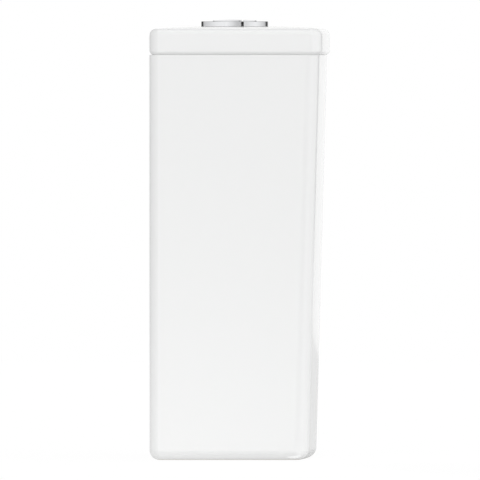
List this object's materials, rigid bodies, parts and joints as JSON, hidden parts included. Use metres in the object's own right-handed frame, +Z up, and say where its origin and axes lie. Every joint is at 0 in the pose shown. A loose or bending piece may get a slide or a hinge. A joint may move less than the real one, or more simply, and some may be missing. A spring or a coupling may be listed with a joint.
{
  "type": "toilet cistern",
  "caption": "White ceramic close-coupled cistern with a bowed front, a lift-off lid, a chrome dual-flush push button, and the flush and fill valves inside.",
  "frame": {"origin": "middle of the base, under the middle of the lid", "axes": "+Z up, +Y towards the wall behind, -Y the bowed front, +X to the right seen from the front"},
  "size_m": [0.365, 0.163, 0.3972],
  "materials": {
    "white_china": "white glaze",
    "chrome_plate": "polished chrome plate",
    "white_plastic": "moulded white plastic",
    "grey_plastic": "moulded grey plastic",
    "blue_plastic": "moulded blue plastic",
    "green_plastic": "moulded green plastic",
    "black_rubber": "black rubber",
    "red_silicone": "red silicone",
    "dark_foam": "dark closed-cell foam",
    "steel": "zinc-plated steel",
    "brass": "brass gauze"
  },
  "bodies": {
    "tank": {"cistern_tank": "white_china", "valve_base": "white_plastic", "base_washer": "black_rubber", "valve_backnut": "grey_plastic", "coupling_doughnut": "dark_foam", "valve_tower": "white_plastic", "rocker_pins": "steel", "fill_shank": "white_plastic", "shank_washer": "black_rubber", "shank_nut": "white_plastic", "inlet_strainer": "brass", "drop_tube": "grey_plastic", "fill_head": "white_plastic", "fill_diaphragm": "black_rubber", "fill_cap": "grey_plastic", "lever_pin": "steel", "coupling_bolts": "steel", "bolt_rubbers": "black_rubber", "bolt_washers": "steel", "bolt_nuts": "steel", "blanking_plug": "white_plastic", "plug_washer": "black_rubber", "plug_nut": "white_plastic"},
    "lid": {"cistern_lid": "white_china", "button_bezel": "chrome_plate", "bezel_gasket": "black_rubber", "button_locknut": "white_plastic", "full_flush_spring": "steel", "half_flush_spring": "steel"},
    "full_button": {"full_flush_button": "chrome_plate", "full_flush_rod": "white_plastic"},
    "half_button": {"half_flush_button": "chrome_plate", "half_flush_rod": "white_plastic"},
    "full_rocker": {"full_flush_rocker": "blue_plastic"},
    "half_rocker": {"half_flush_rocker": "green_plastic"},
    "flush_tube": {"overflow_tube": "grey_plastic", "flush_seal": "red_silicone", "seal_retainer": "white_plastic", "full_flush_float": "blue_plastic", "full_lift_hook": "blue_plastic"},
    "half_sleeve": {"half_flush_sleeve": "white_plastic", "half_flush_float": "green_plastic", "half_lift_hook": "green_plastic"},
    "float": {"fill_float": "white_plastic", "float_link_rod": "grey_plastic", "float_adjuster": "blue_plastic"},
    "lever": {"fill_lever": "blue_plastic", "pilot_seal": "black_rubber"}
  },
  "joints": [
    {"name": "lid_lift", "type": "slide", "parent": "tank", "child": "lid", "axis": [0, 0, 1], "range_m": [0, 0.15]},
    {"name": "full_flush_press", "type": "slide", "parent": "lid", "child": "full_button", "axis": [0, 0, -1], "range_m": [0, 0.008], "stiffness_N_per_m": 300, "springref_m": -0.006, "deforming": ["full_flush_spring"]},
    {"name": "half_flush_press", "type": "slide", "parent": "lid", "child": "half_button", "axis": [0, 0, -1], "range_m": [0, 0.008], "stiffness_N_per_m": 300, "springref_m": -0.006, "deforming": ["half_flush_spring"]},
    {"name": "full_rocker_pivot", "type": "hinge", "parent": "tank", "child": "full_rocker", "pos_m": [0.02, 0.00475, 0.3], "axis": [0, -1, 0], "range_deg": [0, 23.5]},
    {"name": "half_rocker_pivot", "type": "hinge", "parent": "tank", "child": "half_rocker", "pos_m": [-0.02, 0.00475, 0.3], "axis": [0, 1, 0], "range_deg": [0, 23.5]},
    {"name": "flush_tube_lift", "type": "slide", "parent": "tank", "child": "flush_tube", "axis": [0, 0, 1], "range_m": [0, 0.0084]},
    {"name": "half_sleeve_lift", "type": "slide", "parent": "flush_tube", "child": "half_sleeve", "axis": [0, 0, 1], "range_m": [0, 0.0084]},
    {"name": "fill_float_rise", "type": "slide", "parent": "tank", "child": "float", "axis": [0, 0, 1], "range_m": [0, 0.01]},
    {"name": "fill_lever_pivot", "type": "hinge", "parent": "tank", "child": "lever", "pos_m": [-0.119, 0.00475, 0.31], "axis": [0, -1, 0], "range_deg": [0, 25.5]}
  ],
  "couplings": [
    {"joint": "full_rocker_pivot", "follows": "full_flush_press", "rad_per_m": 51.269},
    {"joint": "flush_tube_lift", "follows": "full_flush_press", "ratio": 1.05},
    {"joint": "half_rocker_pivot", "follows": "half_flush_press", "rad_per_m": 51.269},
    {"joint": "half_sleeve_lift", "follows": "half_flush_press", "ratio": 1.05},
    {"joint": "fill_lever_pivot", "follows": "fill_float_rise", "rad_per_m": 44.505}
  ]
}
